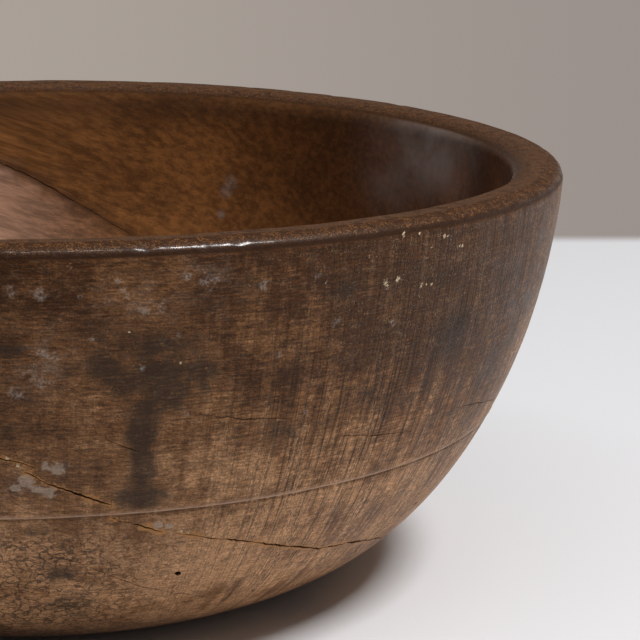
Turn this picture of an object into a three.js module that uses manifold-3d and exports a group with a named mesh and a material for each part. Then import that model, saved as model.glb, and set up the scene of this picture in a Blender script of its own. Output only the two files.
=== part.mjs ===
// An old turned wooden bowl, made of one blank of wood: a soft-edged rim, a full belly with one scored line
// round it, a flat foot, the slight saddle shape that the rim takes as the wood dries, and the long drying
// crack that steps down the belly.
// Millimetres, +Z up. The origin is the middle of the foot, the grain runs along X and the front faces -Y.

import * as THREE from 'three';
import { mergeVertices } from 'three/addons/utils/BufferGeometryUtils.js';
import Module from 'manifold-3d';

// Overall sizes
const RIM_DIAMETER = 300;        // the widest place, at the rounded edge of the rim
const HEIGHT = 121;              // from the foot to the rim, before the wood warps
const FOOT_DIAMETER = 131;       // the flat face that the bowl stands on
const RIM_WIDTH = 15;            // across the top of the rim
const FLOOR_THICKNESS = 14;      // under the middle of the hollow

// The rim's worn edges
const RIM_OUTER_ROUND = 4;
const RIM_INNER_ROUND = 7;

// The two wall curves: each leaves the rim at its lean and swells by its fullness, a pure number
const OUTER_LEAN = THREE.MathUtils.degToRad(5.2);
const INNER_LEAN = THREE.MathUtils.degToRad(3.4);
const OUTER_BELLY_FULLNESS = 0.575;
const OUTER_FOOT_FULLNESS = 0.488;
const INNER_BELLY_FULLNESS = 0.76;
const INNER_FLOOR_FULLNESS = 0.77;

// The line that the turner scored round the belly
const LINE_HEIGHT = 50.4;
const LINE_WIDTH = 1.6;
const LINE_DEPTH = 0.7;

// Drying: the rim drops by the saddle at the two ends of the grain and rises by it at the two sides, and it
// leans down a little towards the front and the right
const SADDLE_WARP = 1.3;
const FRONT_DROP = 0.8;
const RIGHT_DROP = 0.7;

// The drying crack: an open wedge in three runs, each a few points of angle from the front, in degrees
// towards +X, and height, in millimetres
const CRACK_WIDTH = 1.4;
const CRACK_DEPTH = 4;
const CRACK_OVERSHOOT = 1;       // how far the cutting wedge stands out of the wall
const CRACK_END_SHARE = 0.3;     // what is left of the width and depth at the ends of a run
const CRACK_STEP = 5;            // length of wall per section of the wedge
const CRACK_RUNS = [
  [[-14, 71.9], [-8, 70], [-1, 64.4]],
  [[-2, 63.6], [1.2, 59.4], [6.2, 53.7]],
  [[6.7, 49.1], [12.2, 44.1], [21.4, 38.4], [37.5, 28], [50.8, 23.2], [68, 16]],
];

// Smoothness
const ROUND_SEGMENTS = 84;
const OUTER_STEPS = 22;
const INNER_STEPS = 16;
const EDGE_STEPS = 6;

const rimRadius = RIM_DIAMETER / 2;
const footRadius = FOOT_DIAMETER / 2;
const wasm = await Module();
wasm.setup();

// A point at a distance from a start point, in a direction given by its angle
function pointFrom(start, angle, distance) {
  return new THREE.Vector2(Math.cos(angle), Math.sin(angle)).multiplyScalar(distance).add(start);
}

// Points of a rounded edge, from one angle to another
function edgeRound(centre, radius, fromAngle, toAngle) {
  const points = [];
  for (let i = 0; i <= EDGE_STEPS; i++) {
    points.push(pointFrom(centre, THREE.MathUtils.lerp(fromAngle, toAngle, i / EDGE_STEPS), radius));
  }
  return points;
}

// The rim's two rounded edges, as profile points of radius and height
const outerRound = edgeRound(
  new THREE.Vector2(rimRadius - RIM_OUTER_ROUND, HEIGHT - RIM_OUTER_ROUND),
  RIM_OUTER_ROUND, -OUTER_LEAN, Math.PI / 2,
);
const innerRound = edgeRound(
  new THREE.Vector2(rimRadius - RIM_WIDTH + RIM_INNER_ROUND, HEIGHT - RIM_INNER_ROUND),
  RIM_INNER_ROUND, Math.PI / 2, Math.PI - INNER_LEAN,
);

// The outside of the wall, from the edge of the foot up to the rim
const footEdge = new THREE.Vector2(footRadius, 0);
const rimEdge = outerRound[0];
const outerWall = new THREE.CubicBezierCurve(
  footEdge,
  pointFrom(footEdge, 0, OUTER_FOOT_FULLNESS * (rimRadius - footRadius)),
  pointFrom(rimEdge, -Math.PI / 2 - OUTER_LEAN, OUTER_BELLY_FULLNESS * rimEdge.y),
  rimEdge,
);

// The inside of the wall, from the rim down to the middle of the floor
const innerEdge = innerRound[EDGE_STEPS];
const floorMiddle = new THREE.Vector2(0, FLOOR_THICKNESS);
const innerWall = new THREE.CubicBezierCurve(
  innerEdge,
  pointFrom(innerEdge, -Math.PI / 2 - INNER_LEAN, INNER_BELLY_FULLNESS * (innerEdge.y - FLOOR_THICKNESS)),
  pointFrom(floorMiddle, 0, INNER_FLOOR_FULLNESS * innerEdge.x),
  floorMiddle,
);

// The point of the outer wall at a height, and the way out of the wood there, both in the profile's plane
function outerWallAt(height) {
  let low = 0;
  let high = 1;
  for (let i = 0; i < 40; i++) {
    const middle = (low + high) / 2;
    if (outerWall.getPoint(middle).y < height) low = middle;
    else high = middle;
  }
  const along = outerWall.getTangent(low);
  return { share: low, point: outerWall.getPoint(low), out: new THREE.Vector2(along.y, -along.x) };
}

// The outer wall with the scored line cut into it
function scoredWall() {
  const under = outerWallAt(LINE_HEIGHT - LINE_WIDTH / 2);
  const over = outerWallAt(LINE_HEIGHT + LINE_WIDTH / 2);
  const line = outerWallAt(LINE_HEIGHT);
  const lineBottom = line.point.clone().addScaledVector(line.out, -LINE_DEPTH);
  const stepsUnder = Math.ceil(OUTER_STEPS * under.share);
  const stepsOver = Math.ceil(OUTER_STEPS * (1 - over.share));
  const points = [];
  for (let i = 0; i <= stepsUnder; i++) points.push(outerWall.getPoint(under.share * i / stepsUnder));
  points.push(lineBottom);
  for (let i = 0; i <= stepsOver; i++) {
    points.push(outerWall.getPoint(THREE.MathUtils.lerp(over.share, 1, i / stepsOver)));
  }
  return points;
}

// A closed solid from a geometry, with the seam's doubled vertices and the flat triangles at the axis removed
function solidFrom(geometry) {
  geometry.deleteAttribute('normal');
  geometry.deleteAttribute('uv');
  const merged = mergeVertices(geometry);
  const corners = merged.index.array;
  const triangles = [];
  for (let i = 0; i < corners.length; i += 3) {
    const [a, b, c] = corners.slice(i, i + 3);
    if (a !== b && b !== c && c !== a) triangles.push(a, b, c);
  }
  return new wasm.Manifold(new wasm.Mesh({
    numProp: 3,
    vertProperties: Float32Array.from(merged.attributes.position.array),
    triVerts: Uint32Array.from(triangles),
  }));
}

function geometryFrom(solid) {
  const mesh = solid.getMesh();
  const geometry = new THREE.BufferGeometry();
  geometry.setAttribute('position', new THREE.BufferAttribute(Float32Array.from(mesh.vertProperties), 3));
  geometry.setIndex(new THREE.BufferAttribute(Uint32Array.from(mesh.triVerts), 1));
  return geometry;
}

// The turned blank: foot, scored outer wall, rim and inner wall in one profile, turned about Z
function turnedBlank() {
  const profile = [
    new THREE.Vector2(0, 0),
    ...scoredWall(),
    ...outerRound.slice(1),
    ...innerRound,
    ...innerWall.getPoints(INNER_STEPS).slice(1),
  ];
  return solidFrom(new THREE.LatheGeometry(profile, ROUND_SEGMENTS).rotateX(Math.PI / 2));
}

// One run of the crack as a tapering wedge that follows the outer wall, its edge pointing into the wood
function crackWedge(run) {
  const path = new THREE.SplineCurve(run.map(([angle, height]) => new THREE.Vector2(angle, height)));
  const onWall = (share) => {
    const [angle, height] = path.getPoint(share).toArray();
    const { point, out } = outerWallAt(height);
    const turn = THREE.MathUtils.degToRad(angle);
    const place = new THREE.Vector3(point.x * Math.sin(turn), -point.x * Math.cos(turn), point.y);
    const outward = new THREE.Vector3(out.x * Math.sin(turn), -out.x * Math.cos(turn), out.y);
    return { place, outward };
  };
  const wallLength = onWall(0).place.distanceTo(onWall(1).place);
  const sections = Math.max(4, Math.ceil(wallLength / CRACK_STEP));
  const positions = [];
  const triangles = [];
  for (let i = 0; i <= sections; i++) {
    const share = i / sections;
    const { place, outward } = onWall(share);
    const ahead = onWall(Math.min(1, share + 0.01)).place.sub(onWall(Math.max(0, share - 0.01)).place);
    const across = new THREE.Vector3().crossVectors(outward, ahead).normalize();
    const size = THREE.MathUtils.lerp(CRACK_END_SHARE, 1, Math.sin(Math.PI * share));
    const mouth = place.clone().addScaledVector(outward, CRACK_OVERSHOOT);
    const halfMouth = size * CRACK_WIDTH / 2 * (1 + CRACK_OVERSHOOT / CRACK_DEPTH);
    positions.push(...mouth.clone().addScaledVector(across, halfMouth).toArray());
    positions.push(...mouth.clone().addScaledVector(across, -halfMouth).toArray());
    positions.push(...place.clone().addScaledVector(outward, -size * CRACK_DEPTH).toArray());
  }
  for (let i = 0; i < sections; i++) {
    for (let side = 0; side < 3; side++) {
      const a = 3 * i + side;
      const b = 3 * i + (side + 1) % 3;
      triangles.push(a, b, a + 3, b, b + 3, a + 3);
    }
  }
  const end = 3 * sections;
  triangles.push(0, 2, 1, end, end + 1, end + 2);
  const geometry = new THREE.BufferGeometry();
  geometry.setAttribute('position', new THREE.Float32BufferAttribute(positions, 3));
  geometry.setIndex(triangles);
  return solidFrom(geometry);
}

// The uneven shape of the dried rim: nothing at the foot, all of it at the top
function warpAsDried(geometry) {
  const positions = geometry.attributes.position;
  for (let i = 0; i < positions.count; i++) {
    const x = positions.getX(i) / rimRadius;
    const y = positions.getY(i) / rimRadius;
    const z = positions.getZ(i);
    const rise = SADDLE_WARP * (y * y - x * x) + FRONT_DROP * y - RIGHT_DROP * x;
    positions.setZ(i, z + rise * (z / HEIGHT) ** 2);
  }
}

function makeBowl() {
  let solid = turnedBlank();
  for (const run of CRACK_RUNS) solid = solid.subtract(crackWedge(run));
  const geometry = geometryFrom(solid);
  warpAsDried(geometry);
  geometry.computeVertexNormals();
  const patinatedWood = new THREE.MeshStandardMaterial({ color: 0x5a3e2c, roughness: 0.5, metalness: 0 });
  const bowl = new THREE.Mesh(geometry, patinatedWood);
  bowl.name = 'turned_bowl';
  return bowl;
}

const woodenBowl = new THREE.Group();
woodenBowl.add(makeBowl());

export default woodenBowl;
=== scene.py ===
"""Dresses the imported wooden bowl: one turned, worn and cracked piece of old wood on a pale table.

The bowl is modelled again as a finer mesh on the same turned profile, with its worn rim, its drying cracks
and its worm holes as real shapes, and an aged wood material. Sizes of the bowl are in millimetres, as in its
CAD model. A place on the wall is an angle from the front, in degrees towards +X, and a height in millimetres
before the wood warped.
"""
import math

import bpy
import numpy as np
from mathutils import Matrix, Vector, kdtree, noise


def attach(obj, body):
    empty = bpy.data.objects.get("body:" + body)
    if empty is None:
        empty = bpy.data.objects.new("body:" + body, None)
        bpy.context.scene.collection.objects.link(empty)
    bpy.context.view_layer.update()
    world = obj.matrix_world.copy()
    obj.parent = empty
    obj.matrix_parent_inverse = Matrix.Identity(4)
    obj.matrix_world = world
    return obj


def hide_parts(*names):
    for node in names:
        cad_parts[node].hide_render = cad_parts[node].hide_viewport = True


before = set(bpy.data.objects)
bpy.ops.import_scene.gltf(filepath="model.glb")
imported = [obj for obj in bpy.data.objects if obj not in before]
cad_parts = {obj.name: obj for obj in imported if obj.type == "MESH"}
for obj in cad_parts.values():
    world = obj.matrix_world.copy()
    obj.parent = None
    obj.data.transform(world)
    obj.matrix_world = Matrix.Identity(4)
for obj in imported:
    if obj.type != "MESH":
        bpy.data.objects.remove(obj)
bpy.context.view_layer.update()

MM = 0.001
PER_MM = 1 / MM

# The turned form, as in the CAD model
RIM_RADIUS = 150.0
HEIGHT = 121.0
FOOT_RADIUS = 65.5
RIM_WIDTH = 15.0
FLOOR_THICKNESS = 14.0
RIM_OUTER_ROUND = 4.0
RIM_INNER_ROUND = 7.0
OUTER_LEAN = math.radians(5.2)
INNER_LEAN = math.radians(3.4)
OUTER_BELLY_FULLNESS = 0.575
OUTER_FOOT_FULLNESS = 0.488
INNER_BELLY_FULLNESS = 0.76
INNER_FLOOR_FULLNESS = 0.77
LINE_HEIGHT = 50.4
SADDLE_WARP = 1.3
FRONT_DROP = 0.8
RIGHT_DROP = 0.7

# The worn outer edge of the rim: how far up the wall and out on the top its crisp corner pulls
EDGE_UP = 2.5
EDGE_OUT = (3.3, -0.9)

# The scored line's section: height from its middle and depth, a fine groove under a raised lip
LINE_SECTION = [(-1.2, 0.0), (-0.75, 0.04), (-0.5, 0.2), (-0.3, 0.26), (-0.08, 0.1), (0.08, -0.06),
                (0.3, -0.12), (0.55, -0.07), (1.2, 0.0)]

# How fine the mesh is: degrees per column where the front shows most and elsewhere, and millimetres per row
FINE_FROM, FINE_TO = -24.0, 86.0
FINE_COLUMN, COARSE_COLUMN = 0.34, 1.1
FOOT_ROW, WALL_ROW, ROUND_ROW, RIM_ROW, INNER_ROW = 14.0, 2.3, 0.4, 1.0, 5.5

# The drying cracks and fine checks: points of angle and height, with the angle growing, then width and depth
OPEN_CRACKS = [
    ([(-14, 71.9), (-8, 70.0), (-4.6, 67.8), (-2.3, 66.1), (-1.0, 64.4)], 0.6, 3.5),
    ([(-2.4, 64.2), (-0.3, 61.0), (1.2, 59.4), (3.8, 56.2), (6.6, 53.3)], 0.65, 4.0),
    ([(6.6, 49.6), (9.9, 46.4), (12.6, 43.9)], 0.65, 3.5),
    ([(14.2, 43.2), (18.2, 40.4), (21.4, 38.4), (26.2, 35.3), (29.4, 32.9), (33.2, 30.5), (37.5, 28.0),
      (42.9, 26.6), (50.8, 23.2), (60.8, 18.5), (70, 15.0)], 0.7, 4.0),
]
FINE_CHECKS = [
    ([(14.0, 77.1), (19.3, 74.6), (25.4, 72.5)], 0.22, 1.0),
    ([(31.9, 65.2), (36.4, 63.3), (43.6, 61.0)], 0.26, 1.0),
    ([(50.5, 63.7), (57.3, 61.6), (68.5, 56.4)], 0.26, 1.0),
    ([(-1.1, 40.3), (3.5, 35.4), (6.8, 31.4), (11.3, 26.0), (16.6, 22.0), (24.0, 16.3)], 0.28, 1.2),
    ([(5.6, 72.4), (7.4, 70.1), (9.2, 68.0)], 0.22, 1.0),
]
INNER_CRACK = ([(158, 62), (166.5, 71.6), (174.2, 81.1), (181, 90), (186, 95.7), (192, 101), (199, 107)],
               0.6, 0.18)

# Worm holes in the outer wall: angle, height and radius
WORM_HOLES = [(15.8, 29.3, 0.95), (57.4, 30.8, 0.8), (48.9, 20.4, 0.55), (46.4, 11.9, 0.65),
              (66.0, 57.3, 0.5)]

# Broad marks on the outer wall: angle, height, half width, half height and strength
DARK_STAINS = [
    (9.5, 96.0, 17, 6, 0.62), (5.5, 91.0, 6, 6, 0.72), (10.5, 89.0, 10, 6, 0.78), (14.5, 88.0, 6, 6, 0.72),
    (7.4, 86.0, 5, 4.5, 0.82), (11.6, 83.5, 8, 5, 0.88), (9.4, 79.5, 5.5, 5, 0.9), (9.1, 74.0, 4.2, 6, 0.92),
    (9.3, 67.0, 3.4, 6, 0.92), (9.6, 61.0, 4.2, 5, 0.9), (9.8, 55.8, 7.5, 4.2, 0.9),
    (4.6, 99.0, 6, 4, 0.55), (29.3, 105.0, 7, 4, 0.6), (38.0, 105.0, 30, 10, 0.44),
    (45.6, 85.5, 11, 10, 0.68), (23.0, 69.0, 8, 5, 0.6), (-3.4, 95.9, 6, 2.2, 0.9), (-3.7, 74.5, 2.5, 4, 0.6),
    (-2.0, 46.5, 7, 2.2, 0.6), (2, 22.1, 13, 5, 0.5), (16, 107.2, 14, 6, 0.4), (35, 92.7, 16, 8, 0.35),
    (55, 96.5, 12, 12, 0.35), (1.5, 33.0, 7, 2.5, 0.7), (5.0, 29.0, 5, 2.0, 0.6),
]
# Pale haze on the outer wall; its last mark, at the right edge, is a painted sheen
PALE_HAZE_AND_EDGE_SHEEN = [
    (0.0, 92.9, 7, 6, 0.7), (-2.6, 85.0, 4, 3, 0.6), (-1.6, 58.8, 6, 4, 0.7), (15.0, 110.2, 6, 5, 0.6),
    (8.5, 106.7, 9, 5, 0.5), (0.7, 64.0, 5, 3, 0.5), (76.0, 86.0, 28, 38, 0.9),
]
# Painted reflection: a broad grey sheen painted on the hollow's right side
INNER_PAINTED_SHEEN = [(114, 108, 21, 9, 1.0), (106, 112, 12, 5, 0.6), (122, 98, 12, 8, 0.45)]
# Painted shade: broad dark marks painted where the hollow lies in shade
INNER_SHADE = [(130, 80, 34, 40, 0.75), (99, 110, 13, 12, 0.9)]
# Small pale spots in the hollow: angle, height and radius
INNER_SPOTS = [(151.2, 90.5, 2.2), (151.8, 87.5, 2.0), (152.4, 79.8, 1.3)]
# Small pale spots on the outer wall: angle, height and radius
BLOOM_SPOTS = [
    (-2.9, 110.1, 1.6), (-0.3, 109.7, 1.8), (6.6, 112.1, 0.8), (7.0, 109.9, 1.0), (7.5, 108.1, 1.1),
    (8.9, 104.7, 1.7), (10.5, 105.3, 1.5), (14.9, 110.0, 2.1), (15.6, 111.1, 1.5), (12.9, 112.2, 1.2),
    (-0.1, 95.2, 1.9), (0.9, 94.1, 1.6), (-1.1, 90.2, 2.3), (-0.3, 88.3, 2.4), (-2.7, 85.0, 2.0),
    (9.05, 90.1, 0.7), (12.3, 98.0, 1.0), (13.6, 77.6, 0.8), (26.0, 109.7, 1.3), (28.5, 97.0, 1.1),
    (35.8, 94.3, 1.1), (26.7, 74.2, 0.8), (-5.5, 104.0, 1.5), (-6.0, 92.0, 2.0), (3.2, 108.6, 1.0),
    (20.5, 108.9, 1.2), (22.4, 90.4, 0.9), (4.2, 98.2, 1.0),
]
CHALK_PATCHES = [
    (0.9, 64.3, 2.0), (-0.2, 65.4, 1.2), (-2.3, 61.0, 2.2), (-3.2, 59.6, 1.6), (0.1, 57.9, 2.0),
    (-1.2, 58.9, 1.7), (12.0, 46.2, 1.3), (13.2, 45.8, 1.2),
]
BARE_FLECKS = [
    (34.1, 105.9, 0.8), (34.3, 104.7, 0.8), (35.6, 106.1, 0.8), (39.1, 103.3, 0.65), (39.8, 103.2, 0.5),
    (40.6, 103.1, 0.4), (31.7, 113.0, 0.35), (40.0, 112.9, 0.35), (27.0, 107.9, 0.35), (7.7, 99.5, 0.35),
    (12.6, 90.9, 0.35), (36.0, 117.6, 0.7), (38.0, 117.2, 0.5), (41.7, 115.2, 0.55), (42.3, 115.0, 0.45),
    (44.2, 111.7, 0.6), (44.8, 111.6, 0.5), (14.7, 43.5, 0.6), (15.6, 43.1, 0.5), (-3.9, 67.7, 0.6),
    (-2.9, 65.8, 0.6),
]
# How fast a broad mark fades from its middle
MARK_FALLOFF = 0.7
# More broad marks, for the side that the lists leave bare: its angles, then how many marks, a seed, and their
# ranges of height, half width and strength
UNLISTED_SIDE = (FINE_TO, FINE_FROM + 350)
MORE_STAINS = (24, 7, (15, 108), (5, 16), (0.35, 0.8))
MORE_HAZE = (14, 8, (40, 112), (4, 9), (0.4, 0.7))

# How far the dark patina has worn off the outer wall at a height: 1 is bare golden wood
WEAR_BY_HEIGHT = [(0, 0.7), (15, 0.98), (40, 0.98), (65, 0.68), (90, 0.44), (108, 0.28), (117, 0.16)]
# Sides of the outer wall: the angles where each begins, is full, begins to fade and ends
# Painted shade: the upper wall is painted darker on the side the key lamp lights most
PAINTED_SHADE_SIDE = (10, 40, 52, 84)
# Painted sheen: the upper wall is painted paler towards its right edge
PAINTED_SHEEN_SIDE = (58, 80, 100, 130)
RIPPLED_SIDE = (4, 36, 110, 150)
RIPPLED_TO_RIM = (34, 56, 110, 150)
SPECKLED_SIDE = (16, 40, 95, 120)
# The scored line's painted highlight on its lip and painted shade in its groove: height from the line's
# middle, and reach
LIP = (0.3, 0.26)
GROOVE = (-0.35, 0.34)
# How far from an open crack its splinters are full and end
SPLINTERS = (0.2, 1.7)
# Edges of the mesh sharper than this stay crisp
SHARP_ANGLE = math.radians(42)

# Where the camera stood: a place in millimetres, how far it turns to the right and down, and its lens
CAMERA_PLACE = (0.0, -717.0, 229.5)
CAMERA_TURN = math.radians(6.457)
CAMERA_TILT = math.radians(12.565)
CAMERA_LENS = 140.55
SENSOR = 36.0


def pull(start, angle, distance):
    """The point at a distance from start, in the direction of an angle, in the profile's plane."""
    return np.array(start) + distance * np.array([math.cos(angle), math.sin(angle)])


def bezier(a, b, c, d, steps):
    """Points along a cubic curve."""
    t = np.linspace(0, 1, steps + 1)[:, None]
    return (1 - t) ** 3 * a + 3 * (1 - t) ** 2 * t * b + 3 * (1 - t) * t ** 2 * c + t ** 3 * d


def arc(centre, radius, start, end, steps):
    """Points along a round edge."""
    angles = np.linspace(start, end, steps + 1)
    return np.array(centre) + radius * np.stack([np.cos(angles), np.sin(angles)], 1)


def steps_for(length, step):
    """How many steps of about this size a length takes."""
    return max(2, math.ceil(length / step))


def even_rows(points, row):
    """The same curve with points about a row apart."""
    along = np.concatenate([[0], np.cumsum(np.hypot(*np.diff(points, axis=0).T))])
    want = np.linspace(0, along[-1], steps_for(along[-1], row) + 1)
    return np.stack([np.interp(want, along, points[:, 0]), np.interp(want, along, points[:, 1])], 1)


# The profile's curves, as points of radius and height, from the foot over the rim to the floor of the hollow
CURVE_STEPS = 400
rim_edge = pull((RIM_RADIUS - RIM_OUTER_ROUND, HEIGHT - RIM_OUTER_ROUND), -OUTER_LEAN, RIM_OUTER_ROUND)
top_edge = np.array([RIM_RADIUS - RIM_OUTER_ROUND, HEIGHT])
edge_pull = pull(rim_edge, math.pi / 2 - OUTER_LEAN / 2, EDGE_UP)
outer_round = bezier(rim_edge, edge_pull, top_edge + EDGE_OUT, top_edge, CURVE_STEPS)
inner_round = arc((RIM_RADIUS - RIM_WIDTH + RIM_INNER_ROUND, HEIGHT - RIM_INNER_ROUND), RIM_INNER_ROUND,
                  math.pi / 2, math.pi - INNER_LEAN, CURVE_STEPS)
foot_edge = np.array([FOOT_RADIUS, 0.0])
outer_wall = bezier(
    foot_edge, pull(foot_edge, 0, OUTER_FOOT_FULLNESS * (RIM_RADIUS - FOOT_RADIUS)),
    pull(rim_edge, -math.pi / 2 - OUTER_LEAN, OUTER_BELLY_FULLNESS * rim_edge[1]), rim_edge, CURVE_STEPS)
inner_edge = inner_round[-1]
floor_middle = np.array([0.0, FLOOR_THICKNESS])
inner_wall = bezier(
    inner_edge,
    pull(inner_edge, -math.pi / 2 - INNER_LEAN, INNER_BELLY_FULLNESS * (inner_edge[1] - FLOOR_THICKNESS)),
    pull(floor_middle, 0, INNER_FLOOR_FULLNESS * inner_edge[0]), floor_middle, CURVE_STEPS)
rim_top = np.linspace(outer_round[-1], inner_round[0], CURVE_STEPS)
foot_face = np.linspace([0, 0], foot_edge, CURVE_STEPS)
PROFILE_PARTS = {"foot": foot_face, "outer": outer_wall, "round": outer_round, "top": rim_top,
                 "inner_round": inner_round, "inner": inner_wall}


def wall_at(height, wall):
    """The point of a wall's curve at a height, and the unit direction out of the wood there."""
    order = np.argsort(wall[:, 1])
    heights, radii = wall[order, 1], wall[order, 0]
    reach = 0.5
    slope = np.interp(height + reach, heights, radii) - np.interp(height - reach, heights, radii)
    out = np.array([2 * reach, -slope]) / math.hypot(2 * reach, slope)
    if wall is inner_wall:
        out = -out
    return np.array([np.interp(height, heights, radii), height]), out


def scored_line():
    """The rows across the line scored round the belly."""
    rows = []
    for rise, depth in LINE_SECTION:
        point, out = wall_at(LINE_HEIGHT + rise, outer_wall)
        rows.append(point - depth * out)
    return np.array(rows)


def profile_rows():
    """The bowl's profile from the middle of the foot, up the outside, over the rim and down to the floor."""
    gap = WALL_ROW / 2
    below = outer_wall[outer_wall[:, 1] < LINE_HEIGHT + LINE_SECTION[0][0] - gap]
    above = outer_wall[outer_wall[:, 1] > LINE_HEIGHT + LINE_SECTION[-1][0] + gap]
    return np.concatenate([
        even_rows(foot_face, FOOT_ROW)[:-1], even_rows(below, WALL_ROW), scored_line(),
        even_rows(above, WALL_ROW)[:-1], even_rows(outer_round, ROUND_ROW), even_rows(rim_top, RIM_ROW)[1:-1],
        even_rows(inner_round, RIM_ROW), even_rows(inner_wall, INNER_ROW)[1:]])


def column_angles():
    """The angles of the mesh's columns, in degrees, closer together where the front shows most."""
    fine = np.arange(FINE_FROM, FINE_TO, FINE_COLUMN)
    count = steps_for(360 - (FINE_TO - FINE_FROM), COARSE_COLUMN)
    coarse = np.linspace(FINE_TO, FINE_FROM + 360, count, endpoint=False)
    return np.concatenate([fine, coarse])


def on_circle(radius, angle_degrees, height):
    """Points of space from radius, angle from the front and height."""
    turn = np.radians(angle_degrees)
    return np.stack(np.broadcast_arrays(radius * np.sin(turn), -radius * np.cos(turn), height), -1)


def lumps(points, size, seed):
    """Smooth noise from -1 to 1 at points in millimetres, with lumps of a size."""
    shift = Vector((seed * 17.3, seed * 5.7, seed * 11.9))
    return np.array([noise.noise(Vector(p) / size + shift) for p in points])


def rise_at(points, height):
    """How far the drying wood has lifted points of a height: fully at the rim and not at the foot."""
    x, y = points[:, 0] / RIM_RADIUS, points[:, 1] / RIM_RADIUS
    return (SADDLE_WARP * (y ** 2 - x ** 2) + FRONT_DROP * y - RIGHT_DROP * x) * (height / HEIGHT) ** 2


def warp(points):
    """The uneven shape that the bowl took as the wood dried."""
    points = np.array(points, float)
    points[:, 2] += rise_at(points, points[:, 2])
    return points


def height_before_warp(points):
    """The height that warped points had before the wood warped."""
    height = points[:, 2].copy()
    for _ in range(4):
        height = points[:, 2] - rise_at(points, height)
    return height


def smooth_step(value, low, high):
    """From 0 at low to 1 at high, with soft ends."""
    share = np.clip((value - low) / (high - low), 0, 1)
    return share * share * (3 - 2 * share)


def between(value, begin, full, fade, end):
    """From 0 at begin to 1 at full, and from 1 at fade back to 0 at end."""
    return smooth_step(value, begin, full) * (1 - smooth_step(value, fade, end))


def near(value, middle, reach):
    """1 at the middle, fading over about a reach to both sides."""
    return np.exp(-((value - middle) / reach) ** 2)


def profile_finder():
    """A search tree over the profile, with each point's part of the profile and its share along that part."""
    parts = list(PROFILE_PARTS.values())
    points = np.concatenate(parts)
    part_of = np.concatenate([np.full(len(part), i) for i, part in enumerate(parts)])
    share_of = np.concatenate([np.linspace(0, 1, len(part)) for part in parts])
    tree = kdtree.KDTree(len(points))
    for i, (radius, height) in enumerate(points):
        tree.insert((radius, height, 0), i)
    tree.balance()
    return tree, part_of, share_of


finder, part_of_profile, share_of_profile = profile_finder()


def find_on_profile(points):
    """For each point: its part of the profile as masks by name, its share along it and how far off it is."""
    radius = np.hypot(points[:, 0], points[:, 1])
    height = height_before_warp(points)
    found = [finder.find((r, h, 0)) for r, h in zip(radius, height)]
    nearest = np.array([index for _, index, _ in found])
    distance = np.array([gap for _, _, gap in found])
    part = part_of_profile[nearest]
    masks = {name: (part == i).astype(float) for i, name in enumerate(PROFILE_PARTS)}
    return masks, share_of_profile[nearest], distance


def worn_shape(grid):
    """Moves the turned surface where age and use have: a slightly uneven wall and a lumpy, knocked rim."""
    flat = grid.reshape(-1, 3)
    up_wall = np.roll(grid, -1, axis=0) - np.roll(grid, 1, axis=0)
    round_wall = np.roll(grid, -1, axis=1) - np.roll(grid, 1, axis=1)
    normal = np.cross(round_wall.reshape(-1, 3), up_wall.reshape(-1, 3))
    normal /= np.maximum(np.linalg.norm(normal, axis=1, keepdims=True), 1e-9)
    masks, share, _ = find_on_profile(warp(flat))
    height = flat[:, 2]
    body = np.maximum(masks["outer"], masks["inner"]) * between(height, 2, 14, HEIGHT - 12, HEIGHT - 5)
    move = body * (0.2 * lumps(flat, 32, 1) + 0.05 * lumps(flat * [1, 1, 4], 9, 2))
    edge = masks["round"] * smooth_step(share, 0.0, 0.25)
    rim = np.maximum(np.maximum(edge, masks["top"]), masks["inner_round"])
    move += rim * (0.12 * lumps(flat, 14, 3) + 0.06 * lumps(flat, 4, 4) - 0.1)
    knocks = np.maximum(0, lumps(flat, 6, 5) - 0.42) + 0.4 * np.maximum(0, lumps(flat, 2.4, 6) - 0.4)
    move -= edge * 1.2 * knocks
    return (flat + normal * move[:, None]).reshape(grid.shape)


def turned_mesh():
    """The bowl as one closed mesh of rows and columns, in millimetres, before the warp."""
    rows = profile_rows()
    middle = rows[1:-1]
    grid = worn_shape(on_circle(middle[:, :1], column_angles()[None, :], middle[:, 1:]))
    count, wide = grid.shape[:2]
    points = np.concatenate([grid.reshape(-1, 3), [[0, 0, rows[0, 1]], [0, 0, rows[-1, 1]]]])
    faces = []
    for i in range(count - 1):
        here, there = i * wide, (i + 1) * wide
        for j in range(wide):
            k = (j + 1) % wide
            faces.append((here + j, here + k, there + k, there + j))
    foot, floor = count * wide, count * wide + 1
    top = (count - 1) * wide
    for j in range(wide):
        k = (j + 1) % wide
        faces.append((foot, k, j))
        faces.append((floor, top + j, top + k))
    return points, faces


# The cutting shapes: how far they stand out of the wood, how deep in a cut its wall gets painted shade, and
# the length of wall per section of a crack
CUT_OVERSHOOT = 1.2
DARK_FROM = 0.6
CRACK_STEP = 0.6
# A crack's half width at its mouth, throat and bottom, as shares of its width
MOUTH, THROAT, BOTTOM = 0.65, 0.45, 0.12
INNER_CRACK_SEED = 40
HOLE_DEPTH = 7.0
HOLE_SIDES = 14


def wall_frame(angle, height, wall):
    """A point on a wall and the directions out of the wood, level along the wall and across both."""
    (radius, high), out = wall_at(height, wall)
    outward = on_circle(out[0], angle, out[1])
    level = on_circle(1, angle + 90, 0)
    return on_circle(radius, angle, high), outward, level, np.cross(outward, level)


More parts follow.
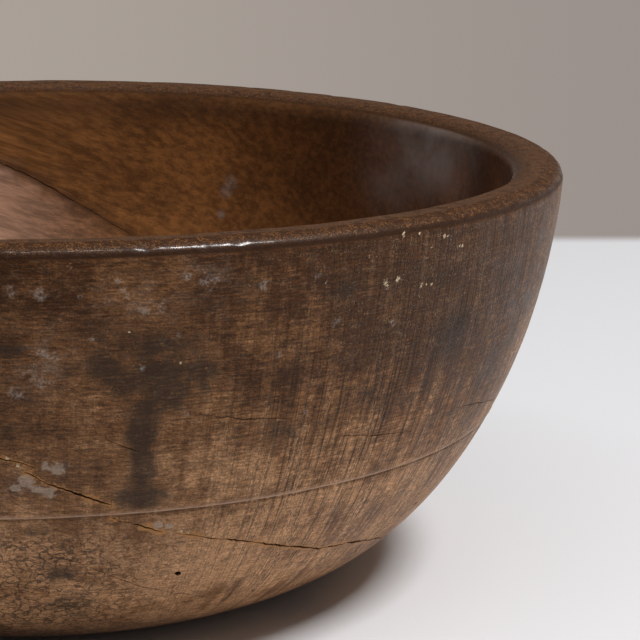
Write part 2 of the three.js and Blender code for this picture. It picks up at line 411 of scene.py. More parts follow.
def crack_cutter(path, width, depth, wall, seed):
    """A thin, wandering wedge along a path on a wall, which cuts a crack."""
    path = np.array(path, float)
    degree = math.radians(1) * RIM_RADIUS
    along = np.concatenate([[0], np.cumsum(np.hypot(*(np.diff(path, axis=0) * [degree, 1]).T))])
    share = np.linspace(0, along[-1], steps_for(along[-1], CRACK_STEP) + 1)
    at = np.stack([share, 0 * share, 0 * share], 1)
    angle = np.interp(share, along, path[:, 0])
    height = np.interp(share, along, path[:, 1]) + 0.4 * lumps(at, 8, seed + 2)
    height += 0.26 * lumps(at, 2.6, seed) + 0.24 * lumps(at, 1.1, seed + 0.5)
    opening = np.sqrt(np.clip(np.sin(np.pi * share / share[-1]), 0, 1))
    size = width * (0.15 + 0.85 * opening) * np.clip(0.85 + 0.9 * lumps(at, 5, seed + 1), 0.25, 1.6)
    corners = []
    for i in range(len(share)):
        place, outward, _, across = wall_frame(angle[i], height[i], wall)
        mouth = place + CUT_OVERSHOOT * outward
        reach = depth * (0.35 + 0.65 * opening[i])
        throat = place - min(DARK_FROM, 0.6 * reach) * outward
        bottom = place - reach * outward
        side_way = across * size[i]
        corners += [mouth + side_way * MOUTH, mouth - side_way * MOUTH, throat - side_way * THROAT,
                    bottom - side_way * BOTTOM, bottom + side_way * BOTTOM, throat + side_way * THROAT]
    sides = 6
    faces = []
    for i in range(len(share) - 1):
        for side in range(sides):
            a, b = sides * i + side, sides * i + (side + 1) % sides
            faces.append((a, b, b + sides, a + sides))
    last = sides * (len(share) - 1)
    faces += [tuple(reversed(range(sides))), tuple(range(last, last + sides))]
    return np.array(corners), faces


def hole_cutter(angle, height, hole_radius):
    """A small round peg, square to the wall, which cuts a worm hole."""
    sides = HOLE_SIDES
    place, outward, level, across = wall_frame(angle, height, outer_wall)
    corners = []
    faces = []
    for ring, reach in enumerate((CUT_OVERSHOOT, -DARK_FROM, -HOLE_DEPTH)):
        for side in range(sides):
            turn = 2 * math.pi * side / sides
            size = hole_radius * (1 + 0.15 * math.sin(2 * turn + angle))
            sideways = size * (math.cos(turn) * level + math.sin(turn) * across)
            corners.append(place + reach * outward + sideways)
            if reach > -HOLE_DEPTH:
                a, b = ring * sides + side, ring * sides + (side + 1) % sides
                faces.append((a, a + sides, b + sides, b))
    faces += [tuple(range(sides)), tuple(reversed(range(2 * sides, 3 * sides)))]
    return np.array(corners), faces


def new_object(name, points, faces):
    """A new object from points in millimetres, warped as the bowl is."""
    mesh = bpy.data.meshes.new(name)
    mesh.from_pydata((warp(points) * MM).tolist(), [], faces)
    mesh.update()
    obj = bpy.data.objects.new(name, mesh)
    bpy.context.scene.collection.objects.link(obj)
    return obj


def join_shapes(shapes):
    """Points and faces of several meshes as one."""
    points, faces, first = [], [], 0
    for shape_points, shape_faces in shapes:
        points.append(shape_points)
        faces += [tuple(first + i for i in face) for face in shape_faces]
        first += len(shape_points)
    return np.concatenate(points), faces


def cut_away(obj, shapes):
    """Cuts several closed shapes out of an object and leaves a plain mesh."""
    cutter = new_object("cutter", *join_shapes(shapes))
    modifier = obj.modifiers.new("cut", "BOOLEAN")
    modifier.operation = "DIFFERENCE"
    modifier.solver = "MANIFOLD"
    modifier.object = cutter
    evaluated = obj.evaluated_get(bpy.context.evaluated_depsgraph_get())
    mesh = bpy.data.meshes.new_from_object(evaluated)
    obj.modifiers.clear()
    whole = obj.data
    obj.data = mesh
    bpy.data.meshes.remove(whole)
    bpy.data.objects.remove(cutter)


def spread(angle, height, places):
    """How strongly any of the listed marks covers each point, from 0 to 1."""
    cover = np.zeros_like(angle)
    for mark_angle, mark_height, half_width, half_height, strength in places:
        turn = (angle - mark_angle + 180) % 360 - 180
        across = np.radians(turn) * RIM_RADIUS / half_width
        up = (height - mark_height) / half_height
        cover = np.maximum(cover, strength * np.exp(-MARK_FALLOFF * (across ** 2 + up ** 2)))
    return cover


def scattered(count, seed, heights, widths, strengths):
    """Marks of the same kind, spread over the part of the wall that the listed ones leave bare."""
    draw = np.random.default_rng(seed)
    places = []
    for _ in range(count):
        half_width = draw.uniform(*widths)
        places.append((draw.uniform(*UNLISTED_SIDE), draw.uniform(*heights), half_width,
                       half_width * draw.uniform(0.5, 1.1), draw.uniform(*strengths)))
    return places


def near_cracks(points):
    """From 1 beside the open cracks of the outer wall to 0 a little way off."""
    steps = 60
    tree = kdtree.KDTree(steps * len(OPEN_CRACKS))
    for number, (path, _, _) in enumerate(OPEN_CRACKS):
        corners = np.arange(len(path))
        share = np.linspace(0, corners[-1], steps)
        angle = np.interp(share, corners, [corner[0] for corner in path])
        height = np.interp(share, corners, [corner[1] for corner in path])
        for i in range(steps):
            radius = wall_at(height[i], outer_wall)[0][0]
            tree.insert(warp([on_circle(radius, angle[i], height[i])])[0], steps * number + i)
    tree.balance()
    gap = np.array([tree.find(point)[2] for point in points])
    return 1 - smooth_step(gap, *SPLINTERS)


def unseen_patches(points, angle, size, seed, cover, middle, reach):
    """Patches of a size, away from the side of the bowl whose middle is at an angle."""
    patches = smooth_step(lumps(points, size, seed), *cover)
    return patches * smooth_step(np.abs(angle - middle), *reach)


def store(mesh, name, values):
    """Stores one value per vertex under a name."""
    layer = mesh.attributes.new(name, "FLOAT", "POINT")
    layer.data.foreach_set("value", np.asarray(values, np.float32))


def paint_wall(mesh, outer, points, angle, height):
    """Stores where the outer wall is worn, stained, crackled, rippled, speckled or splintered, where one side
    gets painted shade and the right edge a painted sheen, and where its scored line gets painted shade and
    highlight.
    """
    store(mesh, "beside_crack", outer * near_cracks(points))
    worn = np.interp(height, *np.transpose(WEAR_BY_HEIGHT))
    darker = between(angle, *PAINTED_SHADE_SIDE) * smooth_step(height, 45, 85)
    paler = between(angle, *PAINTED_SHEEN_SIDE) * smooth_step(height, 50, 80)
    # The worn value also holds painted shade on the key-lit side and a painted sheen towards the right edge
    store(mesh, "worn", worn - 0.38 * darker + 0.24 * paler)
    stains = DARK_STAINS + scattered(*MORE_STAINS)
    haze_and_edge_sheen = PALE_HAZE_AND_EDGE_SHEEN + scattered(*MORE_HAZE)
    store(mesh, "stain", outer * spread(angle, height, stains))
    store(mesh, "haze_and_edge_sheen", outer * spread(angle, height, haze_and_edge_sheen))
    # Where the scored line gets a painted highlight on its lip and painted shade in its groove
    for name, (rise, reach) in {"lip": LIP, "groove": GROOVE}.items():
        store(mesh, name, outer * near(height, LINE_HEIGHT + rise, reach))

    low = 1 - smooth_step(height, 40, 54)
    front = near(angle, -1, 17)
    elsewhere = unseen_patches(points, angle, 45, 11, (-0.1, 0.35), 20, (35, 60))
    store(mesh, "crackle", outer * low * np.maximum(front, 0.8 * elsewhere))
    right = between(angle, *RIPPLED_SIDE) * (1 - 0.4 * smooth_step(angle, 60, 84))
    elsewhere = unseen_patches(points, angle, 60, 12, (-0.2, 0.4), 40, (60, 90))
    ripple = np.maximum(np.maximum(right, 0.7 * elsewhere), 0.15)
    far_right = between(angle, *RIPPLED_TO_RIM)
    store(mesh, "ripple", outer * ripple * (1 - 0.4 * smooth_step(height, 72, 100) * (1 - far_right)))
    right = between(angle, *SPECKLED_SIDE) * smooth_step(height, 62, 100)
    elsewhere = unseen_patches(points, angle, 50, 13, (0.0, 0.4), 50, (60, 90))
    store(mesh, "specks", outer * np.maximum(right, 0.7 * elsewhere))


def paint_hollow(mesh, inside, angle, height):
    """Stores where the hollow gets painted shade and a painted grey sheen, where it is pale and where a
    painted dark line follows its crack.
    """
    store(mesh, "inner_shade", inside * spread(angle, height, INNER_SHADE))
    store(mesh, "inner_painted_sheen", inside * spread(angle, height, INNER_PAINTED_SHEEN))
    crack = np.array(INNER_CRACK[0])
    full_turn = angle % 360
    crack_height = np.interp(full_turn, crack[:, 0], crack[:, 1], left=50, right=112)
    below = smooth_step(crack_height - height, -0.8, 1.6)
    fade = between(height, 32, 66, 98, 110)
    store(mesh, "inner_pale", inside * below * fade * near(full_turn, 200, 20))
    on_crack = (full_turn > crack[0, 0]) * (full_turn < crack[-1, 0])
    # Painted shade: a soft dark line painted along the hollow's shallow crack
    store(mesh, "inner_line", inside * on_crack * near(height, crack_height, 1.6))


def paint_masks(mesh):
    """Stores on each vertex which face of the bowl it is on, and the marks of that face."""
    points = np.empty(len(mesh.vertices) * 3)
    mesh.vertices.foreach_get("co", points)
    points = points.reshape(-1, 3) / MM
    height = height_before_warp(points)
    angle = np.degrees(np.arctan2(points[:, 0], -points[:, 1]))
    masks, share, depth = find_on_profile(points)
    outer = np.maximum(masks["outer"], masks["round"])
    inside = np.maximum(masks["inner"], masks["inner_round"] * smooth_step(share, 0.52, 0.66))
    store(mesh, "inside", inside)
    # Painted shade: where the rim's inner edge is painted dark
    store(mesh, "inner_edge", np.maximum(masks["inner_round"] * smooth_step(share, 0.4, 0.56),
                                         masks["inner"] * smooth_step(height, 105, 114)))
    store(mesh, "rim_top", np.maximum(masks["top"], masks["inner_round"]))
    store(mesh, "rim_edge", masks["round"] * share + masks["top"] + masks["inner_round"])
    # Painted shade: the deeper walls of cracks and worm holes are painted dark
    store(mesh, "in_crack", smooth_step(depth, DARK_FROM / 2, DARK_FROM))
    paint_wall(mesh, outer, points, angle, height)
    paint_hollow(mesh, inside, angle, height)


def make_bowl():
    """The bowl's mesh, cut, marked and dressed, on the part's body."""
    obj = new_object("bowl", *turned_mesh())
    cracks = enumerate(OPEN_CRACKS + FINE_CHECKS, 3)
    shapes = [crack_cutter(*crack, outer_wall, seed) for seed, crack in cracks]
    shapes.append(crack_cutter(*INNER_CRACK, inner_wall, INNER_CRACK_SEED))
    shapes += [hole_cutter(*hole) for hole in WORM_HOLES]
    cut_away(obj, shapes)
    mesh = obj.data
    paint_masks(mesh)
    mesh.shade_smooth()
    mesh.set_sharp_from_angle(angle=SHARP_ANGLE)
    mesh.materials.clear()
    mesh.materials.append(old_wood())
    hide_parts("turned_bowl")
    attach(obj, "root")


class Tree:
    """Short calls for writing a material's nodes."""

    def __init__(self, owner):
        owner.use_nodes = True
        self.nodes = owner.node_tree.nodes
        self.links = owner.node_tree.links

    def set(self, socket, value):
        if isinstance(value, bpy.types.NodeSocket):
            self.links.new(value, socket)
        elif socket.type == "RGBA":
            socket.default_value = (*value, 1)
        else:
            socket.default_value = value

    def add(self, kind, inputs, **settings):
        node = self.nodes.new(kind)
        for name, value in settings.items():
            setattr(node, name, value)
        for key, value in inputs.items():
            self.set(node.inputs[key], value)
        return node

    def mask(self, name):
        return self.add("ShaderNodeAttribute", {}, attribute_name=name).outputs["Fac"]

    def lengths(self, vector, lengths):
        """Coordinates in which a pattern's features have these lengths along the three axes."""
        scale = [1 / length for length in lengths]
        return self.add("ShaderNodeMapping", {"Vector": vector, "Scale": scale}).outputs["Vector"]

    def noise(self, vector, lengths, detail=3.0, roughness=0.55, distortion=0.0):
        inputs = {"Vector": self.lengths(vector, lengths), "Scale": 1.0, "Detail": detail,
                  "Roughness": roughness, "Distortion": distortion}
        return self.add("ShaderNodeTexNoise", inputs).outputs["Fac"]

    def vector(self, operation, *values):
        node = self.add("ShaderNodeVectorMath", dict(enumerate(values)), operation=operation)
        return node.outputs["Vector"]

    def math(self, operation, a, b):
        return self.add("ShaderNodeMath", {0: a, 1: b}, operation=operation).outputs[0]

    def times(self, a, b):
        return self.math("MULTIPLY", a, b)

    def total(self, values):
        result = values[0]
        for value in values[1:]:
            result = self.math("ADD", result, value)
        return result

    def product(self, values):
        result = values[0]
        for value in values[1:]:
            result = self.times(result, value)
        return result

    def span(self, value, low, high, to_low=0.0, to_high=1.0):
        """A value's range from low to high, moved to another range with soft ends."""
        inputs = {"Value": value, "From Min": low, "From Max": high, "To Min": to_low, "To Max": to_high}
        return self.add("ShaderNodeMapRange", inputs, interpolation_type="SMOOTHSTEP").outputs["Result"]

    def sway(self, pattern, reach):
        """A pattern's swing about its middle, from -reach to reach."""
        return self.span(pattern, 0.3, 0.7, -reach, reach)

    def blend(self, share, a, b, mode="MIX"):
        node = self.add("ShaderNodeMix", {"Factor": share}, data_type="RGBA", blend_type=mode)
        first, second = [socket for socket in node.inputs if socket.type == "RGBA"]
        self.set(first, a)
        self.set(second, b)
        return next(socket for socket in node.outputs if socket.type == "RGBA")

    def shade(self, colour, pattern, dark, light, share=1.0):
        """A colour made darker and lighter by a pattern."""
        return self.blend(share, colour, self.span(pattern, 0.33, 0.67, dark, light), "MULTIPLY")

    def spots(self, place, places, wall):
        """From 1 in the middle of each listed spot of a wall to 0 at its edge."""
        cover = None
        for angle, height, radius in places:
            middle = warp([on_circle(wall_at(height, wall)[0][0], angle, height)])[0]
            gap = self.add("ShaderNodeVectorMath", {0: place, 1: tuple(middle)}, operation="DISTANCE")
            spot = self.span(gap.outputs["Value"], 0.1 * radius, 1.8 * radius, 1.0, 0.0)
            cover = spot if cover is None else self.math("MAXIMUM", cover, spot)
        return cover


# The wood's colours, as linear light
GOLDEN_WOOD = (0.47, 0.255, 0.125)
BROWN_WOOD = (0.180, 0.081, 0.031)
DARK_PATINA = (0.066, 0.025, 0.0078)
DULL_FILM = (0.155, 0.095, 0.067)
# Grime, also used as painted shade in the scored line's groove
GRIME_AND_SHADE = (0.030, 0.0175, 0.011)
# Painted shade for the deep parts of cracks and worm holes
DEEP_DARK = (0.009, 0.0055, 0.004)
BLOOM = (0.42, 0.365, 0.33)
CHALK = (0.44, 0.345, 0.27)
BARE_WOOD = (0.60, 0.46, 0.30)
SPLINTER = (0.42, 0.195, 0.062)
# Painted highlight on the scored line's raised lip
LIP_HIGHLIGHT = (0.50, 0.33, 0.235)
RIM_GREY = (0.064, 0.032, 0.0175)
RIM_BROWN = (0.086, 0.036, 0.0135)
# Dark rim colour, also used as painted shade in the hollow and along the rim's inner edge
RIM_DARK = (0.030, 0.0115, 0.0045)
RIM_AMBER = (0.215, 0.092, 0.030)
INSIDE_BROWN = (0.225, 0.091, 0.027)
INSIDE_DARK = (0.112, 0.044, 0.0135)
INSIDE_PALE = (0.42, 0.255, 0.185)
INSIDE_GREY = (0.37, 0.355, 0.355)
# The turn from the bowl's axes to the fibres, which fall to the right as the cracks do
FIBRE_TURN = (0.0, math.radians(-21), math.radians(-6))
# The fine relief of the wood's surface, with its depth in metres
RELIEF_STRENGTH = 0.55
RELIEF_DEPTH = 0.0004


def wood_figure(t):
    """Coordinates in millimetres, and the patterns that the wood shows, each a value around a half."""
    place = t.add("ShaderNodeTexCoord", {}).outputs["Object"]
    place = t.add("ShaderNodeMapping", {"Vector": place, "Scale": (PER_MM,) * 3}).outputs["Vector"]
    grain = t.add("ShaderNodeMapping", {"Vector": place, "Rotation": FIBRE_TURN}).outputs["Vector"]
    shake = {"Vector": t.lengths(place, (3.4,) * 3), "Scale": 1.0, "Detail": 4.0}
    shake = t.add("ShaderNodeTexNoise", shake).outputs["Color"]
    shaken = t.vector("MULTIPLY_ADD", shake, (5.0,) * 3, place)
    cells = t.add("ShaderNodeTexVoronoi", {"Vector": t.lengths(shaken, (3.0, 3.0, 2.2)), "Scale": 1.0},
                  feature="DISTANCE_TO_EDGE")
    level = t.vector("NORMALIZE", t.vector("MULTIPLY", place, (1, 1, 0)))
    upright = t.vector("MULTIPLY", place, (0, 0, 1))
    around = t.vector("MULTIPLY_ADD", level, (RIM_RADIUS,) * 3, upright)
    return {
        "place": place,
        "streaks": t.noise(grain, (34, 1.8, 1.8), 5, 0.6),
        "fibres": t.noise(grain, (7, 0.45, 0.45), 3, 0.6),
        "dashes": t.noise(grain, (2.2, 0.34, 0.34), 1, 0.5),
        "ticks": t.noise(around, (0.5, 0.5, 9), 4, 0.6, 0.15),
        "scores": t.noise(around, (0.7, 0.7, 26), 2, 0.5, 0.15),
        "bands": t.noise(around, (4.5, 4.5, 40), 3, 0.6, 0.3),
        "flecks": t.noise(around, (0.5, 0.5, 1.4), 3, 0.65),
        "strokes": t.noise(place, (3.4, 3.4, 0.5), 4, 0.62),
        "dust": t.noise(place, (0.34, 0.34, 0.34), 2, 0.6),
        "turned": t.noise(place, (14, 14, 0.5), 3, 0.65),
        "clouds": t.noise(grain, (46, 24, 24), 3, 0.55),
        "patches": t.noise(grain, (10, 7.5, 7.5), 5, 0.65),
        "mottle": t.noise(place, (2.2, 2.2, 1.5), 5, 0.68),
        "hue": t.noise(place, (5.5, 5.5, 3.2), 5, 0.7),
        "grit": t.noise(place, (0.6, 0.6, 0.6), 3, 0.6),
        "cells": cells.outputs["Distance"],
    }


def wall_colour(t, figure):
    """The outer wall: dark patina above and worn golden wood below, with streaks, flecks and stains, painted
    shade on the side the key lamp lights most, a painted sheen towards the right edge, and painted shade and
    highlight at the scored line.
    """
    # The worn mask also carries painted shade on the key-lit side and a painted sheen towards the right edge
    worn, ripple = t.mask("worn"), t.mask("ripple")
    bands = t.times(t.sway(figure["bands"], 0.3), t.math("POWER", ripple, 0.6))
    tone = t.total([worn, t.sway(figure["clouds"], 0.2), t.sway(figure["patches"], 0.2),
                    t.sway(figure["mottle"], 0.14), t.sway(figure["strokes"], 0.1), bands])
    colour = t.blend(t.span(tone, 0.0, 0.62), DARK_PATINA, BROWN_WOOD)
    colour = t.blend(t.span(tone, 0.5, 1.2), colour, GOLDEN_WOOD)
    colour = t.blend(t.span(figure["hue"], 0.5, 0.74, 0.0, 0.3), colour, DULL_FILM)
    brushed = t.span(worn, 0.45, 0.95, 1.0, 0.4)
    colour = t.shade(colour, figure["turned"], 0.76, 1.24, brushed)
    colour = t.shade(colour, figure["fibres"], 0.84, 1.16)
    colour = t.shade(colour, figure["strokes"], 0.84, 1.16, brushed)
    colour = t.shade(colour, figure["grit"], 0.8, 1.2)
    colour = t.shade(colour, figure["dust"], 0.8, 1.2)
    ticks = t.times(t.span(figure["ticks"], 0.34, 0.66, -0.3, 0.3),
                    t.span(figure["mottle"], 0.36, 0.6, 0.4, 1.0))
    across = t.math("ADD", ticks, t.span(figure["scores"], 0.52, 0.62, 0.16, -0.5))
    colour = t.blend(1.0, colour, t.math("ADD", t.times(across, ripple), 1.0), "MULTIPLY")

    rows = t.product([t.span(figure["bands"], 0.46, 0.6), t.span(figure["flecks"], 0.48, 0.6), ripple])
    colour = t.blend(t.times(rows, 0.8), colour, GRIME_AND_SHADE)
    colour = t.blend(t.span(figure["dashes"], 0.64, 0.74, 0.0, 0.6), colour, GRIME_AND_SHADE)
    crackle = t.mask("crackle")
    lines = t.product([t.span(figure["cells"], 0.03, 0.11, 1.0, 0.0),
                       t.span(figure["hue"], 0.36, 0.52, 0.1, 1.0), crackle])
    smudge = t.product([t.span(figure["patches"], 0.5, 0.6), t.span(figure["mottle"], 0.44, 0.54),
                        crackle, 0.65])
    colour = t.blend(t.times(t.math("MAXIMUM", lines, smudge), 0.8), colour, GRIME_AND_SHADE)

    stain = t.total([t.mask("stain"), t.sway(figure["patches"], 0.2), t.sway(figure["mottle"], 0.14)])
    colour = t.blend(t.span(stain, 0.28, 0.74, 0.0, 0.8), colour, GRIME_AND_SHADE)
    # Painted shade in the scored groove and a painted highlight on the lip above it
    groove = t.times(t.mask("groove"), t.span(figure["patches"], 0.35, 0.6, 0.1, 0.55))
    colour = t.blend(groove, colour, GRIME_AND_SHADE)
    lip = t.times(t.mask("lip"), t.span(figure["patches"], 0.3, 0.65, 0.95, 0.5))
    colour = t.blend(lip, colour, LIP_HIGHLIGHT)
    splinter = t.total([t.mask("beside_crack"), t.sway(figure["hue"], 0.5), t.sway(figure["grit"], 0.3)])
    colour = t.blend(t.span(splinter, 0.42, 1.05, 0.0, 0.85), colour, SPLINTER)
    speckled = t.mask("specks")
    pale_lines = t.product([t.span(figure["scores"], 0.36, 0.46, 1.0, 0.0),
                            t.span(figure["grit"], 0.46, 0.6), speckled, 0.1])
    colour = t.blend(pale_lines, colour, BLOOM)
    specks = t.product([t.span(figure["dust"], 0.6, 0.7), t.span(figure["mottle"], 0.42, 0.58),
                        speckled, 0.55])
    colour = t.blend(specks, colour, BARE_WOOD)
    return colour, rows


def pale_marks(t, figure):
    """Where grey bloom, a painted sheen at the right edge and chalky patches cover the outer wall, and where
    bare wood shows in flecks.
    """
    place = figure["place"]
    haze_and_edge_sheen = t.product([t.mask("haze_and_edge_sheen"), t.span(figure["hue"], 0.4, 0.66),
                      t.span(figure["grit"], 0.3, 0.65, 0.3, 1.0), 0.3])
    spots = t.math("ADD", t.spots(place, BLOOM_SPOTS, outer_wall), t.sway(figure["mottle"], 0.6))
    spots = t.product([t.span(spots, 0.35, 1.4), t.span(figure["grit"], 0.34, 0.62, 0.1, 1.0), 0.55])
    chalk = t.math("ADD", t.spots(place, CHALK_PATCHES, outer_wall), t.sway(figure["mottle"], 0.35))
    chalk = t.product([t.span(chalk, 0.4, 0.75), t.span(figure["grit"], 0.3, 0.6, 0.6, 1.0), 0.62])
    flecks = t.math("ADD", t.spots(place, BARE_FLECKS, outer_wall),
                    t.span(figure["grit"], 0.34, 0.66, -0.5, 0.5))
    return t.math("MAXIMUM", haze_and_edge_sheen, spots), chalk, t.span(flecks, 0.6, 0.95)


def rim_colour(t, figure, up_rim):
    """The rim: a dark line under its edge, amber flecks on the round, a matte grey-brown top and painted
    shade along its inner edge.
    """
    edge = t.blend(t.span(figure["dust"], 0.47, 0.6), RIM_DARK, RIM_AMBER)
    edge = t.blend(t.span(figure["grit"], 0.5, 0.6, 0.0, 0.75), edge, RIM_DARK)
    edge = t.blend(t.span(figure["mottle"], 0.44, 0.58, 0.0, 0.75), edge, RIM_DARK)
    edge = t.blend(t.span(up_rim, 0.3, 0.5, 0.85, 0.0), edge, RIM_DARK)
    top = t.blend(t.span(figure["mottle"], 0.36, 0.62), RIM_GREY, RIM_BROWN)
    top = t.blend(t.span(figure["strokes"], 0.5, 0.62, 0.0, 0.7), top, RIM_DARK)
    top = t.blend(t.span(figure["grit"], 0.56, 0.68, 0.0, 0.75), top, RIM_DARK)
    top = t.blend(t.span(figure["grit"], 0.34, 0.44, 0.6, 0.0), top, RIM_AMBER)
    # Painted shade along the rim's inner edge
    top = t.blend(t.times(t.mask("inner_edge"), 0.6), top, RIM_DARK)
    return t.blend(t.mask("rim_top"), edge, top)


def inner_colour(t, figure):
    """The hollow: smoother, redder wood, paler below the crack, with painted shade, a painted grey sheen at
    the right and a painted dark line along its crack.
    """
    figured = t.math("ADD", t.times(figure["clouds"], 0.6), t.times(figure["streaks"], 0.4))
    colour = t.blend(t.span(figured, 0.34, 0.66), INSIDE_DARK, INSIDE_BROWN)
    pale = t.times(t.mask("inner_pale"), t.span(figure["streaks"], 0.25, 0.6, 0.8, 1.0))
    colour = t.blend(pale, colour, INSIDE_PALE)
    colour = t.shade(colour, figure["streaks"], 0.82, 1.18)
    colour = t.shade(colour, figure["fibres"], 0.93, 1.07)
    # Painted shade: the rim's inner edge and the shaded parts of the hollow are painted dark
    shade = t.math("MAXIMUM", t.times(t.mask("inner_edge"), 0.6), t.times(t.mask("inner_shade"), 0.66))
    colour = t.blend(shade, colour, RIM_DARK)
    # Painted reflection: the grey sheen is painted in; the small pale spots are real marks
    grey = t.times(t.mask("inner_painted_sheen"), t.span(figure["patches"], 0.3, 0.65, 0.5, 0.9))
    spots = t.product([t.spots(figure["place"], INNER_SPOTS, inner_wall),
                       t.span(figure["mottle"], 0.3, 0.6), 0.26])
    colour = t.blend(t.math("MAXIMUM", grey, spots), colour, INSIDE_GREY)
    # Painted shade along the hollow's crack
    return t.blend(t.times(t.mask("inner_line"), 0.6), colour, RIM_DARK)


def old_wood():
    """Worn, waxed and stained old wood."""
    material = bpy.data.materials.new("old_wood")
    t = Tree(material)
    shader = t.nodes["Principled BSDF"]
    figure = wood_figure(t)
    up_rim, inside, in_crack = t.mask("rim_edge"), t.mask("inside"), t.mask("in_crack")
    on_rim = t.span(up_rim, 0.02, 0.2)
    colour, rows = wall_colour(t, figure)
    bloom, chalk, flecks = pale_marks(t, figure)
    # The bloom also carries the painted sheen at the right edge
    colour = t.blend(bloom, colour, BLOOM)
    colour = t.blend(chalk, colour, CHALK)
    colour = t.blend(on_rim, colour, rim_colour(t, figure, up_rim))
    colour = t.blend(inside, colour, inner_colour(t, figure))
    colour = t.blend(flecks, colour, BARE_WOOD)
    # Painted shade inside cracks and worm holes
    colour = t.blend(in_crack, colour, DEEP_DARK)
    t.set(shader.inputs["Base Color"], colour)

    rough = t.total([t.span(figure["patches"], 0.3, 0.7, 0.42, 0.58), t.times(bloom, 0.3),
                     t.times(in_crack, 0.3), t.times(t.mask("rim_top"), 0.2),
                     t.times(t.mask("inner_edge"), 0.25)])
    t.set(shader.inputs["Roughness"], rough)
    gloss = t.product([t.span(up_rim, 0.2, 0.36), t.span(up_rim, 0.55, 0.8, 1.0, 0.0),
                       t.span(figure["mottle"], 0.36, 0.62, 0.55, 0.1)])
    t.set(shader.inputs["Coat Weight"], gloss)
    t.set(shader.inputs["Coat Roughness"], 0.14)
    t.set(shader.inputs["Specular IOR Level"], 0.13)
    t.set(shader.inputs["Sheen Weight"], 0.06)
    t.set(shader.inputs["Sheen Roughness"], 0.35)
    t.set(shader.inputs["Sheen Tint"], (1.0, 0.9, 0.84))

    quiet = t.span(t.math("MAXIMUM", inside, on_rim), 0.0, 1.0, 1.0, 0.35)
    relief = t.total([t.times(figure["fibres"], 0.3), t.product([figure["ticks"], t.mask("ripple"), 0.6]),
                      t.times(figure["turned"], 0.3), t.times(rows, -0.5), t.times(figure["mottle"], 0.5),
                      t.span(figure["dashes"], 0.62, 0.72, 0.0, -0.5)])
    bump = {"Height": t.times(relief, quiet), "Strength": RELIEF_STRENGTH, "Distance": RELIEF_DEPTH}
    bump = t.add("ShaderNodeBump", bump)
    t.set(shader.inputs["Normal"], bump.outputs["Normal"])
    return material


# The table: how far it reaches behind, before and beside the bowl, and its soft end before the backdrop
TABLE_BACK = 0.514
TABLE_FRONT = 0.4
TABLE_FADE = 0.026
TABLE_REACH = 2.5
TABLE_WHITE = (0.73, 0.735, 0.755)


def make_table():
    """A pale table whose far edge melts into the backdrop."""
    mesh = bpy.data.meshes.new("table")
    reach = TABLE_REACH
    front = -TABLE_FRONT
    corners = [(-reach, front, 0), (reach, front, 0), (reach, TABLE_BACK, 0), (-reach, TABLE_BACK, 0)]
    mesh.from_pydata(corners, [], [(0, 1, 2, 3)])
    table = bpy.data.objects.new("table", mesh)
    bpy.context.scene.collection.objects.link(table)
    table.rotation_euler = (0, 0, -CAMERA_TURN)
    material = bpy.data.materials.new("table_white")
    t = Tree(material)
    shader = t.nodes["Principled BSDF"]
    t.set(shader.inputs["Base Color"], TABLE_WHITE)
    t.set(shader.inputs["Roughness"], 0.7)
    t.set(shader.inputs["Specular IOR Level"], 0.2)
    place = t.add("ShaderNodeTexCoord", {}).outputs["Object"]
    away = t.add("ShaderNodeSeparateXYZ", {"Vector": place}).outputs["Y"]
    t.set(shader.inputs["Alpha"], t.span(away, TABLE_BACK - TABLE_FADE, TABLE_BACK, 1.0, 0.0))
    mesh.materials.append(material)


# The room's colours, as linear light
BACKDROP_LEFT = (0.400, 0.352, 0.310)
BACKDROP_RIGHT = (0.325, 0.283, 0.262)
ROOM_FRONT = (0.085, 0.077, 0.073)
ROOM_ABOVE = (0.11, 0.10, 0.095)
ROOM_TOP = (0.22, 0.205, 0.195)
ROOM_RIGHT = (0.46, 0.44, 0.425)


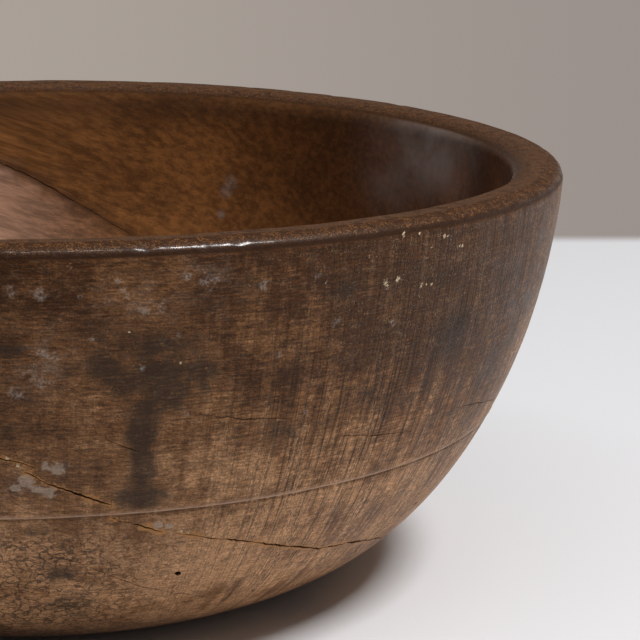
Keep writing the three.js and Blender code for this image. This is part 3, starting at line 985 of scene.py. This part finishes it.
def make_room():
    """A warm grey backdrop, a dimmer room in front of the bowl and a lighter wall to its right."""
    world = bpy.data.worlds.new("room")
    bpy.context.scene.world = world
    t = Tree(world)
    background = t.nodes["Background"]
    way = t.add("ShaderNodeTexCoord", {}).outputs["Generated"]
    parts = t.add("ShaderNodeSeparateXYZ", {"Vector": way}).outputs
    colour = t.blend(t.span(parts["X"], -0.05, 0.26), BACKDROP_LEFT, BACKDROP_RIGHT)
    colour = t.blend(t.span(parts["Y"], -0.3, 0.7), ROOM_FRONT, colour)
    colour = t.blend(t.span(parts["Z"], -0.03, 0.22), colour, ROOM_ABOVE)
    colour = t.blend(t.span(parts["Z"], 0.45, 0.9), colour, ROOM_TOP)
    right = t.product([t.span(parts["X"], 0.55, 0.9), t.span(parts["Z"], 0.05, 0.5, 1.0, 0.0)])
    colour = t.blend(right, colour, ROOM_RIGHT)
    t.set(background.inputs["Color"], colour)


# The lamps: angle from the front, elevation, distance, width, height and power
KEY_LAMP = (58, 59, 3.0, 0.75, 0.75, 85.5)
TOP_STRIP = (-12, 66, 1.3, 0.9, 0.05, 2.9)


def make_lamp(name, angle, elevation, distance, width, height, power):
    """A soft rectangular lamp that faces the bowl."""
    lamp = bpy.data.lights.new(name, "AREA")
    lamp.shape = "RECTANGLE"
    lamp.size, lamp.size_y = width, height
    lamp.energy = power
    obj = bpy.data.objects.new(name, lamp)
    bpy.context.scene.collection.objects.link(obj)
    turn, rise = math.radians(angle), math.radians(elevation)
    way = Vector((math.sin(turn) * math.cos(rise), -math.cos(turn) * math.cos(rise), math.sin(rise)))
    obj.location = way * distance + Vector((0, 0, HEIGHT * MM / 2))
    obj.rotation_euler = way.to_track_quat("Z", "Y").to_euler()


def make_camera():
    """The camera where the photograph was taken from."""
    data = bpy.data.cameras.new("camera")
    data.lens = CAMERA_LENS
    data.sensor_width = SENSOR
    data.sensor_fit = "HORIZONTAL"
    data.clip_start = 0.01
    camera = bpy.data.objects.new("camera", data)
    camera.location = Vector(CAMERA_PLACE) * MM
    camera.rotation_euler = (math.pi / 2 - CAMERA_TILT, 0, -CAMERA_TURN)
    bpy.context.scene.collection.objects.link(camera)
    bpy.context.scene.camera = camera


make_camera()
make_lamp("key", *KEY_LAMP)
make_lamp("top_strip", *TOP_STRIP)
make_room()
make_table()
make_bowl()
bpy.context.scene.view_settings.view_transform = "Standard"
